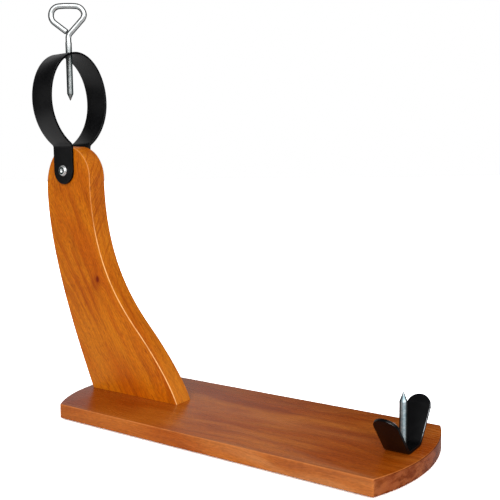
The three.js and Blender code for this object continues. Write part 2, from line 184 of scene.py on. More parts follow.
def inset(outline, distance):
    """An outline, drawn anticlockwise, moved inwards by a distance."""
    moved = []
    for i, point in enumerate(outline):
        before = Vector(outline[i - 1])
        at = Vector(point)
        after = Vector(outline[(i + 1) % len(outline)])
        first = (at - before).normalized()
        second = (after - at).normalized()
        normal = Vector((-first.y - second.y, first.x + second.x)).normalized()
        share = max(0.5, normal.dot(Vector((-first.y, first.x))))
        moved.append(tuple(at + normal * (distance / share)))
    return moved


# ---------------------------------------------------------------- solids

ARRIS = "arris"
CUT_EDGE = "cut_edge"


def ring_body(rings, arris_shares=None, edge_band=None, closed=False):
    """A body through rings of equal length, as a bmesh in millimetres.

    A first or last ring of one point ends in a tip, any other in a flat face. In a closed body the last
    ring joins the first instead. arris_shares gives the bands of faces on rounded edges, by the index of
    their first ring, with how worn each is. edge_band is the band of a sheet's cut edge.
    """
    body = bmesh.new()
    mark = body.faces.layers.float.new(ARRIS)
    edge_mark = body.faces.layers.float.new(CUT_EDGE)
    loops = [[body.verts.new(point) for point in ring] for ring in rings]
    following = loops[1:] + (loops[:1] if closed else [])
    for index, (low, high) in enumerate(zip(loops, following)):
        count = max(len(low), len(high))
        for i in range(count):
            j = (i + 1) % count
            if len(low) == 1:
                corners = (low[0], high[j], high[i])
            elif len(high) == 1:
                corners = (low[i], low[j], high[0])
            else:
                corners = (low[i], low[j], high[j], high[i])
            face = body.faces.new(corners)
            face[mark] = (arris_shares or {}).get(index, 0.0)
            face[edge_mark] = 1.0 if index == edge_band else 0.0
    if len(loops[0]) > 1 and not closed:
        body.faces.new(list(reversed(loops[0])))
    if len(loops[-1]) > 1 and not closed:
        body.faces.new(loops[-1])
    bmesh.ops.recalc_face_normals(body, faces=body.faces)
    return body


def plank(outline, thickness, arris, steps=5):
    """A flat body of the given outline with rounded arrises, lying across z = 0."""
    rings = []
    for side in (-1, 1):
        turns = range(steps + 1) if side > 0 else range(steps, -1, -1)
        for i in turns:
            angle = math.pi / 2 * i / steps
            height = side * (thickness / 2 - arris + arris * math.sin(angle))
            loop = inset(outline, arris * (1 - math.cos(angle))) if i else outline
            rings.append([(x, y, height) for x, y in loop])
    shares = {}
    for i in range(steps):
        share = math.sin(math.pi * (i + 0.5) / steps)
        shares[i] = share
        shares[steps + 1 + i] = share
    return ring_body(rings, shares, steps)


def turned(profile, segments=64):
    """A profile of (radius, height) turned about Z. It starts and ends on the axis, or closes on itself."""
    rings = []
    for radius, height in profile:
        if radius < 1e-6:
            rings.append([(0.0, 0.0, height)])
        else:
            angles = [2 * math.pi * i / segments for i in range(segments)]
            rings.append([(radius * math.cos(a), radius * math.sin(a), height) for a in angles])
    return ring_body(rings, closed=len(rings[0]) > 1)


def eased(profile, trim=0.25):
    """A closed profile with each corner cut off by a small flat."""
    points = []
    for i, at in enumerate(profile):
        corner = Vector(at)
        for neighbour in (profile[i - 1], profile[(i + 1) % len(profile)]):
            side = Vector(neighbour) - corner
            points.append(tuple(corner + side.normalized() * min(trim, side.length / 2.5)))
    return points


def hexagonal(radius_of_flat, height, hole_radius, chamfer):
    """A nut about Z with chamfered corners."""
    segments = 72
    corner = radius_of_flat / math.cos(math.pi / 6)
    face_radius = radius_of_flat * 0.96
    slope = chamfer / (corner - face_radius)
    rows = [[] for _ in range(6)]
    for i in range(segments):
        angle = 2 * math.pi * i / segments
        from_flat = (angle + math.pi / 6) % (math.pi / 3) - math.pi / 6
        reach = radius_of_flat / math.cos(from_flat)
        drop = max(0.0, reach - face_radius) * slope
        levels = (
            (hole_radius, 0.0), (face_radius, 0.0), (reach, drop),
            (reach, height - drop), (face_radius, height), (hole_radius, height),
        )
        for row, (radius, z) in zip(rows, levels):
            row.append((radius * math.cos(angle), radius * math.sin(angle), z))
    return ring_body(rows, closed=True)


def moved(body, matrix):
    bmesh.ops.transform(body, matrix=matrix, verts=body.verts)
    return body


def shifted(body, x=0.0, y=0.0, z=0.0):
    return moved(body, Matrix.Translation((x, y, z)))


def cylinder(radius, low, high, segments=48):
    return turned([(0, low), (radius, low), (radius, high), (0, high)], segments)


def hex_bar(across_flats, low, high):
    corner = across_flats / math.sqrt(3)
    outline = [(corner * math.cos(math.pi / 3 * i), corner * math.sin(math.pi / 3 * i)) for i in range(6)]
    return ring_body([[(x, y, low) for x, y in outline], [(x, y, high) for x, y in outline]])


def linked(name, data):
    """An object of the given mesh, light or camera, in the scene."""
    made = bpy.data.objects.new(name, data)
    bpy.context.scene.collection.objects.link(made)
    return made


def as_object(body, name="scratch"):
    mesh = bpy.data.meshes.new(name)
    body.to_mesh(mesh)
    body.free()
    return linked(name, mesh)


def cut(body, cutters):
    """The body with every cutter taken out of it, as a bmesh."""
    target = as_object(body)
    tools = [as_object(cutter) for cutter in cutters]
    for tool in tools:
        step = target.modifiers.new("cut", "BOOLEAN")
        step.operation = "DIFFERENCE"
        step.solver = "EXACT"
        step.object = tool
    bpy.context.view_layer.update()
    evaluated = target.evaluated_get(bpy.context.evaluated_depsgraph_get())
    result = bmesh.new()
    result.from_mesh(evaluated.to_mesh())
    evaluated.to_mesh_clear()
    for scratch in [target, *tools]:
        mesh = scratch.data
        bpy.data.objects.remove(scratch)
        bpy.data.meshes.remove(mesh)
    return result


def piece(node, body, material, origin, smooth_degrees=40.0):
    """A finished piece in place of the CAD node of the same name. The body is in millimetres about origin."""
    moved(body, Matrix.Translation(origin) @ Matrix.Scale(MM, 4))
    made = as_object(body, node)
    made.data.shade_smooth()
    made.data.set_sharp_from_angle(angle=math.radians(smooth_degrees))
    made.data.materials.append(material)
    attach(made, frame["nodes"][node]["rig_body"])
    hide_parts(node)


def middle(node):
    """The middle of a node's box, in metres."""
    low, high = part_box(node)
    return (low + high) / 2


def base_of(node):
    """The middle of the underside of a node's box, in metres."""
    centre = middle(node)
    return Vector((centre.x, centre.y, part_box(node)[0].z))


def extent(node):
    """The size of a node's box, in millimetres."""
    low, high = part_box(node)
    return (high - low) / MM


# ---------------------------------------------------------------- shader nodes


def add(tree, kind, sockets=None, **settings):
    """A shader node with its settings, and its inputs set to values or linked to sockets."""
    node = tree.nodes.new("ShaderNode" + kind)
    for key, value in settings.items():
        setattr(node, key, value)
    for key, value in (sockets or {}).items():
        if isinstance(value, bpy.types.NodeSocket):
            tree.links.new(value, node.inputs[key])
        else:
            node.inputs[key].default_value = value
    return node


def math_node(tree, operation, first, second=0.0):
    return add(tree, "Math", {0: first, 1: second}, operation=operation).outputs[0]


def times(tree, first, *factors):
    for factor in factors:
        first = math_node(tree, "MULTIPLY", first, factor)
    return first


def left_of_one(tree, share):
    return math_node(tree, "SUBTRACT", 1.0, share)


def mixed(tree, share, first, second, blend="MIX"):
    """Two colours mixed. Each may be a colour or a socket."""
    return add(tree, "Mix", {0: share, 6: first, 7: second}, data_type="RGBA", blend_type=blend).outputs[2]


def remap(tree, value, from_low, from_high, to_low=0.0, to_high=1.0):
    """A value eased from one range to another, and held at the ends."""
    sockets = {"Value": value, "From Min": from_low, "From Max": from_high}
    sockets.update({"To Min": to_low, "To Max": to_high})
    return add(tree, "MapRange", sockets, interpolation_type="SMOOTHSTEP").outputs[0]


def grey(tree, value):
    return add(tree, "CombineColor", {0: value, 1: value, 2: value}).outputs[0]


def axis(tree, place, name):
    return add(tree, "SeparateXYZ", {0: place}).outputs[name]


def vector(tree, operation, first, second, output=0):
    return add(tree, "VectorMath", {0: first, 1: second}, operation=operation).outputs[output]


def length(tree, place):
    return add(tree, "VectorMath", {0: place}, operation="LENGTH").outputs["Value"]


def reach(tree, place, centre, radii):
    """Distance from a centre, counted in radii of their own along each axis."""
    near = vector(tree, "SUBTRACT", place, centre)
    return length(tree, vector(tree, "MULTIPLY", near, tuple(1 / r for r in radii)))


def noise(tree, place, scale, detail=3.0, roughness=0.5, stretch=(1.0, 1.0, 1.0), distortion=0.0):
    """Noise over a place, stretched along each axis; scale is features per metre."""
    placed = add(tree, "Mapping", {"Vector": place, "Scale": stretch}).outputs[0]
    sockets = {"Vector": placed, "Scale": scale, "Detail": detail, "Roughness": roughness}
    return add(tree, "TexNoise", {**sockets, "Distortion": distortion}).outputs["Fac"]


def grained(tree, place, along, across, detail=2.0, roughness=0.5):
    """Noise with its own number of features per metre along the grain and across it."""
    return noise(tree, place, 1.0, detail, roughness, (along, across, across))


def face_mark(tree, name):
    """How strongly the faces carry a mark of ring_body."""
    return add(tree, "Attribute", attribute_name=name, attribute_type="GEOMETRY").outputs["Fac"]


def new_material(name):
    """A material with its empty tree, the place and the normal of its surface."""
    material = bpy.data.materials.new(name)
    material.use_nodes = True
    tree = material.node_tree
    tree.nodes.clear()
    coordinates = add(tree, "TexCoord").outputs
    return material, tree, coordinates["Object"], coordinates["Normal"]


def finish_material(tree, sockets, height, bump_distance, bump_strength):
    """The surface shader and output, with a bump from a height socket."""
    shader = add(tree, "BsdfPrincipled", sockets)
    bump = add(tree, "Bump", {"Height": height, "Distance": bump_distance, "Strength": bump_strength})
    tree.links.new(bump.outputs[0], shader.inputs["Normal"])
    add(tree, "OutputMaterial", {"Surface": shader.outputs[0]})


def colour(red, green, blue):
    """A colour given as it looks on screen, from 0 to 255."""
    channels = [c / 255 for c in (red, green, blue)]
    linear = [c / 12.92 if c <= 0.04045 else ((c + 0.055) / 1.055) ** 2.4 for c in channels]
    return (*linear, 1.0)


# ---------------------------------------------------------------- wood

WANDER = 0.03  # the grain strays by up to half of this, in metres
FINE_RINGS = 4.3  # fine growth rings to a broad one
END_GRAIN = 0.85  # share of its own tone on a face across the grain
FIGURE_SLANT = math.radians(38)
KNOT_TONE = colour(112, 30, 4)
KNOT_RADII = (0.0024, 0.004, 0.0038)
KNOT_SMOKE_SHIFT = (-0.003, 0.0, -0.004)
KNOT_SMOKE_RADII = (0.007, 0.004, 0.009)


def grain_place(tree, place, grain_turn, sway):
    """A place in axes whose X is the grain.

    Sway is a height and a share: above the height the grain leans over by that share of the rise squared.
    """
    if sway is not None:
        start, share = sway
        rise = math_node(tree, "MAXIMUM", math_node(tree, "SUBTRACT", axis(tree, place, "Z"), start), 0.0)
        shift = add(tree, "CombineXYZ", {"X": times(tree, rise, rise, share)}).outputs[0]
        place = vector(tree, "ADD", place, shift)
    return add(tree, "Mapping", {"Vector": place, "Rotation": grain_turn}).outputs[0]


def wandering(tree, grain):
    """The grain's place, moved about so that no line runs quite straight."""
    stretched = add(tree, "Mapping", {"Vector": grain, "Scale": (6.0, 15.0, 15.0)}).outputs[0]
    wander = add(tree, "TexNoise", {"Vector": stretched, "Scale": 1.0, "Detail": 2.0}).outputs["Color"]
    wander = vector(tree, "SUBTRACT", wander, (0.5, 0.5, 0.5))
    wander = add(tree, "VectorMath", {0: wander, "Scale": WANDER}, operation="SCALE").outputs[0]
    return vector(tree, "ADD", grain, wander)


def late_wood(tree, turns):
    """Darkness of rings that each end in a sharp late-wood line, for a place counted in rings."""
    share = math_node(tree, "FRACT", turns)
    return times(tree, remap(tree, share, 0.3, 0.9), remap(tree, share, 0.9, 1.0, 1.0, 0.0))


def growth_rings(tree, grain, warped, pith, ring_width):
    """Darkness of the broad and of the fine growth rings about the pith line."""
    from_pith = vector(tree, "SUBTRACT", warped, (0.0, *pith))
    radius = length(tree, vector(tree, "MULTIPLY", from_pith, (0.0, 1.0, 1.0)))
    uneven = grained(tree, grain, 3.0, 30.0)
    turns = math_node(tree, "ADD", math_node(tree, "DIVIDE", radius, ring_width), uneven)
    patchy = remap(tree, grained(tree, grain, 9.0, 20.0), 0.35, 0.65, 0.15, 1.0)
    return times(tree, late_wood(tree, turns), patchy), late_wood(tree, times(tree, turns, FINE_RINGS))


def with_dark_end(tree, base, place, normal, tone, start, end, share):
    """Dark at the arm's end by a share, fading from start to none at end, and less on upright faces."""
    deep = remap(tree, axis(tree, place, "X"), start, end, share, 0.0)
    deep = times(tree, deep, remap(tree, axis(tree, normal, "Z"), 0.3, 0.7, 0.45, 1.0))
    return mixed(tree, deep, base, tone)


def with_sapwood(tree, base, place, bands, tone, start, end, share):
    """Pale towards the near long edge, from none at start to a share at end, most at the cradle's end."""
    pale = remap(tree, axis(tree, place, "Y"), start, end, 0.0, share)
    banded = remap(tree, bands, 0.4, 0.6, 0.3, 1.0)
    lengthwise = remap(tree, axis(tree, place, "X"), 0.0, 0.2, 0.1, 1.2)
    return mixed(tree, times(tree, pale, banded, lengthwise), base, tone)


def with_figure(tree, base, place, normal, tones, start, end, share):
    """Slanted curly figure on the face towards +X, growing to its share from one height to another.

    The face is paler at its foot, a painted light next to the board, and where the figure is full.
    """
    height = axis(tree, place, "Z")
    forwards = remap(tree, axis(tree, normal, "X"), 0.5, 0.75)
    slanted = add(tree, "Mapping", {"Vector": place, "Rotation": (FIGURE_SLANT, 0.0, 0.0)}).outputs[0]
    curl = noise(tree, slanted, 1.0, 2.0, 0.55, (45.0, 420.0, 34.0), distortion=1.0)
    curl = times(tree, remap(tree, curl, 0.5, 0.6), forwards, remap(tree, height, start, end, 0.12, share))
    # painted light: paler low on the face, next to the board
    foot = remap(tree, height, 0.02, 0.09, 0.5, 0.0)
    pale = math_node(tree, "MAXIMUM", foot, remap(tree, height, start, end, 0.0, 0.2))
    base = mixed(tree, times(tree, pale, forwards), base, tones["pale"])
    return mixed(tree, curl, base, tones["streak"])


def with_flecks(tree, base, fibres, pores, fleck):
    """Fibres and pores that lighten and darken the colour."""
    tone = remap(tree, fibres, 0.3, 0.7, 1 - fleck / 2, 1 + fleck / 2)
    tone = times(tree, tone, remap(tree, pores, 0.38, 0.66, 1 + 0.6 * fleck, 1 - 0.8 * fleck))
    return mixed(tree, 1.0, base, grey(tree, tone), "MULTIPLY")


def with_knot(tree, base, place, knot, streaks, tone):
    """A knot in a smoky patch of the streaks' tone."""
    smoke = reach(tree, place, tuple(Vector(knot) + Vector(KNOT_SMOKE_SHIFT)), KNOT_SMOKE_RADII)
    smoke = times(tree, remap(tree, smoke, 0.3, 1.6, 0.75, 0.0), remap(tree, streaks, 0.3, 0.6, 0.5, 1.0))
    base = mixed(tree, smoke, base, tone)
    core = reach(tree, place, knot, KNOT_RADII)
    return mixed(tree, remap(tree, core, 0.5, 1.3, 1.0, 0.0), base, KNOT_TONE)


def with_painted_arris_light(tree, base, place, normal, tones, lit_side):
    """A painted highlight on the arrises that face the lit side, least on the arm's upper part, and painted
    shade on the others.

    Also gives how polished the surface is: the shaded arrises mirror nothing.
    """
    arris = face_mark(tree, ARRIS)
    lit = remap(tree, vector(tree, "DOT_PRODUCT", normal, lit_side, "Value"), 0.35, 0.65)
    unlit = left_of_one(tree, lit)
    # painted highlight on the arrises that face the light, dotted and faded on the arm's upper part; those
    # turned away get painted shade
    worn = times(tree, remap(tree, noise(tree, place, 90.0), 0.35, 0.6, 0.6, 1.0), lit)
    worn = times(tree, worn, remap(tree, axis(tree, place, "Z"), 0.165, 0.22, 1.0, 0.28))
    worn = math_node(tree, "MAXIMUM", worn, times(tree, unlit, 0.8))
    tone = mixed(tree, lit, tones["shade"], tones["arris"])
    return mixed(tree, times(tree, arris, worn), base, tone), left_of_one(tree, times(tree, arris, unlit))


def wood(name, tones, grain_turn, pith, ring_width, looks, knot=None):
    """Varnished wood. Grain runs along X after grain_turn, and growth rings circle the pith line.

    tones holds the colours. looks holds the shares ring, streak, dash and fleck, the roughness gloss, the
    reflection's sheen, coat and tint, and lit_side, the side whose arrises carry a painted highlight. The arm
    adds sway and figure and the board adds dark_end and sapwood, which grain_place and the with functions
    explain. Its sizes are metres, and so is the place of a knot.
    """
    material, tree, place, normal = new_material(name)
    grain = grain_place(tree, place, grain_turn, looks.get("sway"))
    warped = wandering(tree, grain)
    if knot is not None:
        core = reach(tree, place, knot, KNOT_RADII)
        swirl = add(tree, "CombineXYZ", {"Z": remap(tree, core, 0.0, 6.0, 0.005, 0.0)}).outputs[0]
        warped = vector(tree, "ADD", warped, swirl)
    broad, fine = growth_rings(tree, grain, warped, pith, ring_width)
    streaks = grained(tree, warped, 7.0, 130.0, 3.0, 0.6)
    bands = grained(tree, warped, 6.0, 62.0)
    dashes = grained(tree, warped, 75.0, 620.0)
    fibres = grained(tree, warped, 50.0, 1100.0, 3.0, 0.65)
    pores = grained(tree, warped, 260.0, 1300.0, 1.0, 0.4)
    blotches = remap(tree, grained(tree, grain, 8.0, 24.0, 2.0, 0.55), 0.32, 0.68)

    base = mixed(tree, blotches, tones["light"], tones["dark"])
    layers = (
        ("light", remap(tree, bands, 0.5, 0.72, 0.0, looks["streak"])),
        ("dark", remap(tree, bands, 0.5, 0.3, 0.0, looks["streak"])),
        ("streak", times(tree, broad, looks["ring"])),
        ("streak", times(tree, fine, 0.4 * looks["ring"])),
        ("streak", remap(tree, streaks, 0.54, 0.8, 0.0, looks["streak"])),
        ("streak", remap(tree, dashes, 0.56, 0.72, 0.0, looks["dash"])),
    )
    base = mixed(tree, 0.35, base, tones["middle"])
    for tone, share in layers:
        base = mixed(tree, share, base, tones[tone])
    if "dark_end" in looks:
        base = with_dark_end(tree, base, place, normal, tones["streak"], *looks["dark_end"])
    if "sapwood" in looks:
        base = with_sapwood(tree, base, place, bands, tones["sap"], *looks["sapwood"])
    if "figure" in looks:
        base = with_figure(tree, base, place, normal, tones, *looks["figure"])
    base = with_flecks(tree, base, fibres, pores, looks["fleck"])
    if knot is not None:
        base = with_knot(tree, base, place, knot, streaks, tones["streak"])

    facing = add(tree, "Mapping", {"Vector": normal, "Rotation": grain_turn}).outputs[0]
    end_share = remap(tree, math_node(tree, "ABSOLUTE", axis(tree, facing, "X")), 0.6, 1.0, 0.0, END_GRAIN)
    # painted sheen: pale patches on faces across the grain
    end_sheen_patches = remap(tree, noise(tree, grain, 1.0, 3.0, 0.6, (20.0, 70.0, 150.0)), 0.42, 0.62)
    base = mixed(tree, end_share, base, mixed(tree, end_sheen_patches, tones["end"], tones["end_sheen"]))
    base, polished = with_painted_arris_light(tree, base, place, normal, tones, looks["lit_side"])

    sheen = remap(tree, end_share, 0.0, END_GRAIN, looks["sheen"], 0.1)
    rough = remap(tree, fibres, 0.25, 0.75, looks["gloss"] - 0.04, looks["gloss"] + 0.07)
    smears = remap(tree, noise(tree, place, 14.0), 0.4, 0.7, 0.0, 0.06)
    sockets = {
        "Base Color": base,
        "Roughness": math_node(tree, "ADD", rough, smears),
        "Specular IOR Level": times(tree, sheen, polished),
        "Specular Tint": looks["tint"],
        "Coat Weight": times(tree, polished, looks["coat"]),
        "Coat Roughness": 0.14,
    }
    relief = math_node(tree, "ADD", fibres, times(tree, broad, 0.3))
    finish_material(tree, sockets, relief, 0.00004, 0.4)
    return material


def arm_wood():
    tones = {
        "light": colour(204, 118, 14),
        "middle": colour(195, 103, 5),
        "dark": colour(182, 84, 3),
        "streak": colour(144, 56, 3),
        "end": colour(166, 72, 10),
        # the pale end-grain tone paints a sheen in patches
        "end_sheen": colour(206, 122, 40),
        "pale": colour(216, 134, 40),
        # arris is a painted highlight on the arrises facing lit_side, shade a painted shade on the others
        "arris": colour(255, 196, 128),
        "shade": colour(96, 42, 8),
    }
    looks = {"ring": 0.42, "streak": 0.66, "dash": 0.65, "fleck": 0.17}
    looks.update({"gloss": 0.36, "sheen": 0.26, "coat": 0.05})
    looks["lit_side"] = (0.45, -0.6, 0.66)
    looks["tint"] = (1.0, 0.86, 0.62, 1.0)
    looks["sway"] = (0.13, -1.5)
    looks["figure"] = (0.1, 0.21, 0.55)
    low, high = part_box("arm")
    size = high - low
    knot = (low.x + 0.411 * size.x, low.y, low.z + 0.457 * size.z)
    lean = math.radians(-55)
    return wood("varnished_arm_wood", tones, (0.0, lean, 0.0), (0.062, 0.01), 0.0085, looks, knot)


def board_wood():
    tones = {
        "light": colour(204, 116, 38),
        "middle": colour(180, 88, 16),
        "dark": colour(162, 70, 6),
        "streak": colour(126, 46, 3),
        "sap": colour(204, 144, 94),
        "end": colour(92, 31, 7),
        # the pale end-grain tone paints a sheen in patches
        "end_sheen": colour(142, 76, 44),
        # arris is a painted highlight on the arrises facing lit_side, shade a painted shade on the others
        "arris": colour(206, 124, 66),
        "shade": colour(52, 20, 6),
    }
    looks = {"ring": 0.32, "streak": 0.6, "dash": 0.3, "fleck": 0.13}
    looks.update({"gloss": 0.22, "sheen": 0.46, "coat": 0.02})
    looks["lit_side"] = (-0.1, -0.75, 0.66)
    looks["tint"] = (1.0, 0.85, 0.55, 1.0)
    looks["dark_end"] = (-0.18, 0.05, 0.85)
    looks["sapwood"] = (-0.064, -0.073, 0.5)
    return wood("varnished_board_wood", tones, (0.0, 0.0, 0.0), (0.02, -0.075), 0.0075, looks)


# ---------------------------------------------------------------- paint, metal and rubber

EDGE_GLOSS = 0.04
HIGHLIGHT_AND_WEAR_FADE = 0.004  # height over which the paint's chips and painted highlights fade in, in metres
# painted shade on the sides of round zinc parts, for the dark room they mirror there
ZINC_PAINTED_SHADE = colour(6, 14, 12)
# dark teal for darkened zinc: a painted shade on the clamp bolt's head; on the eye screw, the shank below the
# collar and painted shade at its sides
ZINC_DARKENED = colour(28, 56, 54)
DARKENED_ROUGHNESS = 0.35


def black_paint(name, outer_gloss, inner_gloss, wear_and_highlight, highlight_and_wear_above):
    """Satin black paint with a fine orange peel.

    The glosses are for faces turned away from the stand's middle plane and towards it. The strip's cut
    edges hold a duller coat, except where they face up. Above a height, the rounded edges that face +X carry
    bright bare-steel specks by a share, partly chipped paint and partly a painted highlight where they face
    the light: every one of them behind the middle plane, and in front of it those that face up.
    """
    material, tree, place, normal = new_material(name)
    peel = noise(tree, place, 900.0, 2.0)
    dust = noise(tree, place, 60.0, 4.0, 0.6)
    specks = noise(tree, place, 380.0, 1.0)
    rounded = face_mark(tree, ARRIS)
    side = axis(tree, place, "Y")
    upwards = remap(tree, axis(tree, normal, "Z"), 0.25, 0.6)
    outwards = remap(tree, axis(tree, normal, "X"), 0.2, 0.5)
    back_or_top = math_node(tree, "MAXIMUM", upwards, remap(tree, side, -0.002, 0.002))
    # bright specks on rounded edges: partly chipped paint, partly a painted highlight where edges face the
    # light
    chips_and_highlight = times(tree, remap(tree, specks, 0.42, 0.52, 0.15 * wear_and_highlight, wear_and_highlight), rounded)
    chips_and_highlight = times(tree, chips_and_highlight, times(tree, outwards, back_or_top))
    chips_and_highlight = times(tree, chips_and_highlight, remap(tree, axis(tree, place, "Z"), highlight_and_wear_above, highlight_and_wear_above + HIGHLIGHT_AND_WEAR_FADE))
    base = mixed(tree, remap(tree, dust, 0.4, 0.8), colour(6, 6, 7), colour(11, 11, 13))
    base = mixed(tree, chips_and_highlight, base, colour(226, 230, 234))
    edge = math_node(tree, "MAXIMUM", face_mark(tree, CUT_EDGE), rounded)
    dull = times(tree, edge, left_of_one(tree, upwards))
    facing_out = times(tree, side, axis(tree, normal, "Y"))
    gloss = remap(tree, facing_out, -0.002, 0.002, inner_gloss, outer_gloss)
    sockets = {
        "Base Color": base,
        "Roughness": remap(tree, dust, 0.3, 0.7, 0.3, 0.38),
        "Specular IOR Level": remap(tree, dull, 0.0, 1.0, gloss, EDGE_GLOSS),
    }
    finish_material(tree, sockets, peel, 0.00003, 0.25)
    return material


def turned_away(tree):
    """How far a surface turns away from the view."""
    return add(tree, "LayerWeight", {"Blend": 0.4}).outputs["Facing"]


def zinc_plate(name, bright, dull, roughness, painted_shade_range, darkened_part=None):
    """Zinc plate: a faint spangle, fine scratches and dull patches between two tones.

    Its round parts darken towards their sides over the given range: a painted shade for the dark room that
    they would mirror there. The last argument gives the share of the surface that is darker and rougher, as a
    function of the tree and a place.
    """
    material, tree, place, _ = new_material(name)
    spangle = add(tree, "TexVoronoi", {"Vector": place, "Scale": 480.0}).outputs["Distance"]
    patches = noise(tree, place, 240.0, 4.0, 0.6)
    scratches = noise(tree, place, 1.0, 2.0, stretch=(500.0, 500.0, 2400.0))
    base = mixed(tree, remap(tree, patches, 0.38, 0.66), bright, dull)
    base = mixed(tree, remap(tree, spangle, 0.1, 0.7, 0.0, 0.2), base, dull)
    # painted shade: round parts darken towards their sides
    base = mixed(tree, remap(tree, turned_away(tree), *painted_shade_range), base, ZINC_PAINTED_SHADE)
    rough = remap(tree, patches, 0.3, 0.75, roughness, roughness + 0.14)
    if darkened_part is not None:
        darkened = darkened_part(tree, place)
        base = mixed(tree, darkened, base, ZINC_DARKENED)
        rough = math_node(tree, "ADD", rough, times(tree, darkened, DARKENED_ROUGHNESS))
    sockets = {"Base Color": base, "Metallic": 0.74, "Roughness": rough}
    finish_material(tree, sockets, scratches, 0.00001, 0.2)
    return material


def bright_zinc():
    return zinc_plate("bright_zinc_plate", colour(246, 248, 248), colour(224, 229, 230), 0.2, (0.14, 0.5))


def screw_zinc():
    """Bright on the eye, and dark down the threaded shank, darker still at its sides as painted shade."""

    def threaded(tree, place):
        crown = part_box("collar_strap")[1].z
        below = remap(tree, axis(tree, place, "Z"), crown - 0.002, crown + 0.016, 1.0, 0.1)
        # painted shade: darker towards the shank's sides
        return times(tree, below, remap(tree, turned_away(tree), 0.0, 0.3, 0.5, 1.0))

    bright, dull = colour(252, 254, 254), colour(228, 234, 234)
    return zinc_plate("eye_screw_zinc_plate", bright, dull, 0.2, (0.14, 0.34), threaded)


def bolt_zinc():
    """Bright outside and in the socket, with a ring of painted shade between them and a painted shade dot in
    the middle.
    """

    def painted_shade_rings(tree, place):
        # painted shade: a dark ring round the socket and a dark dot at the middle of its floor
        from_middle = vector(tree, "SUBTRACT", place, middle("clamp_bolt"))
        radius = length(tree, vector(tree, "MULTIPLY", from_middle, (1.0, 0.0, 1.0)))
        ring_outside = remap(tree, radius, 0.0022, 0.0025)
        ring = times(tree, ring_outside, remap(tree, radius, 0.0038, 0.0042, 1.0, 0.0))
        return math_node(tree, "MAXIMUM", ring, remap(tree, radius, 0.0004, 0.001, 0.6, 0.0))

    bright, dull = colour(250, 251, 251), colour(232, 236, 236)
    return zinc_plate("clamp_bolt_zinc_plate", bright, dull, 0.2, (0.5, 0.8), painted_shade_rings)


def dull_zinc():
    return zinc_plate("dull_zinc_plate", colour(236, 250, 254), colour(172, 200, 209), 0.28, (0.0, 0.36))


def machined_brass():
    material, tree, place, _ = new_material("machined_brass")
    patches = noise(tree, place, 220.0, 4.0)
    turning = noise(tree, place, 1.0, 2.0, stretch=(200.0, 200.0, 5000.0))
    base = mixed(tree, remap(tree, patches, 0.35, 0.7), colour(214, 178, 98), colour(164, 124, 56))
    sockets = {"Base Color": base, "Metallic": 1.0, "Roughness": remap(tree, patches, 0.3, 0.7, 0.24, 0.42)}
    finish_material(tree, sockets, turning, 0.00003, 0.5)
    return material


def foot_rubber():
    material, tree, place, _ = new_material("black_rubber")
    grain = noise(tree, place, 1400.0, 3.0, 0.6)
    dust = noise(tree, place, 120.0, 4.0, 0.6)
    base = mixed(tree, remap(tree, dust, 0.45, 0.75, 0.0, 0.7), colour(26, 26, 27), colour(62, 60, 58))
    rough = remap(tree, dust, 0.3, 0.7, 0.7, 0.9)
    sockets = {"Base Color": base, "Roughness": rough, "Specular IOR Level": 0.35}
    finish_material(tree, sockets, grain, 0.0001, 0.5)
    return material


# ---------------------------------------------------------------- wooden pieces


def board_outline(length, width):
    """The board from above: straight long sides, bowed ends and slightly rounded corners."""
    half = width / 2
    trim = BOARD["corner_trim"]
    runs = []
    for side, bow, facing in ((1, BOARD["cradle_end_bow"], 0.0), (-1, BOARD["arm_end_bow"], math.pi)):
        radius = (half * half + bow * bow) / (2 * bow)
        reach = math.asin(half / radius) - trim / radius
        centre = (side * (length / 2 - radius), 0.0)
        bowed = arc(centre, radius, facing - reach, facing + reach, 48)
        corner = (side * (length / 2 - bow), side * half)
        straight = (corner[0] - side * trim, corner[1])
        before = (straight[0], -straight[1])
        corner_before = (corner[0], -corner[1])
        runs.append(bezier(before, corner_before, corner_before, bowed[0], 6))
        runs.append(bowed)
        runs.append(bezier(bowed[-1], corner, corner, straight, 6))
    return joined(*runs)


def make_board(material):
    size = extent("base_board")
    centre = middle("base_board")
    body = plank(board_outline(size.x, size.y), size.z, BOARD["arris"])
    underside = -size.z / 2
    cutters = []
    fasteners = {"arm_bolt_1": "arm_bolt", "arm_bolt_2": "arm_bolt", "spike": "spike"}
    for node, kind in fasteners.items():
        place = (middle(node) - centre) / MM
        radius, depth = BOARD_POCKETS[kind]
        hole = ROD_HOLE if kind == "spike" else BOLT_HOLE
        cutters.append(shifted(cylinder(hole, -size.z, size.z), place.x))
        cutters.append(shifted(cylinder(radius, underside - 1, underside + depth), place.x))
    piece("base_board", cut(body, cutters), material, centre)


def arm_outline(head_height):
    """The arm from the side. Its foot runs on below the board's top, to be cut off square."""
    curve = ARM_CURVE
    radius = curve["head_radius"]
    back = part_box("arm")[0].x / MM
    back_radius = curve["back_head_radius"]
    head_x = back + back_radius
    front = head_x + radius
    drop = curve["back_shoulder_drop"]
    shoulder = []
    for i in range(1, 33):
        angle = math.pi / 2 * i / 32
        rise = (radius + drop) * math.cos(angle)
        shoulder.append((head_x - back_radius * math.sin(angle), head_height - drop + rise))
    below = -4.0
    heel, toe = curve["heel"], curve["toe"]
    heel_slope = (heel[0] - curve["heel_pull"][0]) / curve["heel_pull"][1]
    toe_slope = (toe[0] - curve["toe_pulls"][0][0]) / curve["toe_pulls"][0][1]
    front_pull = (front, curve["front_pull_height"])
    return joined(
        [(heel[0] - below * heel_slope, below), (toe[0] - below * toe_slope, below)],
        bezier(toe, *curve["toe_pulls"], curve["waist"], 40),
        bezier(curve["waist"], curve["waist_pull"], front_pull, (front, head_height), 64),
        arc((head_x, head_height), radius, 0.0, math.pi / 2, 32),
        shoulder,
        bezier(shoulder[-1], (back, curve["back_pull_height"]), curve["heel_pull"], heel, 72),
    )


INSERT_ROOM = 0.3
BOLT_RUN_ON = 11  # of the bolt's hole, past the insert


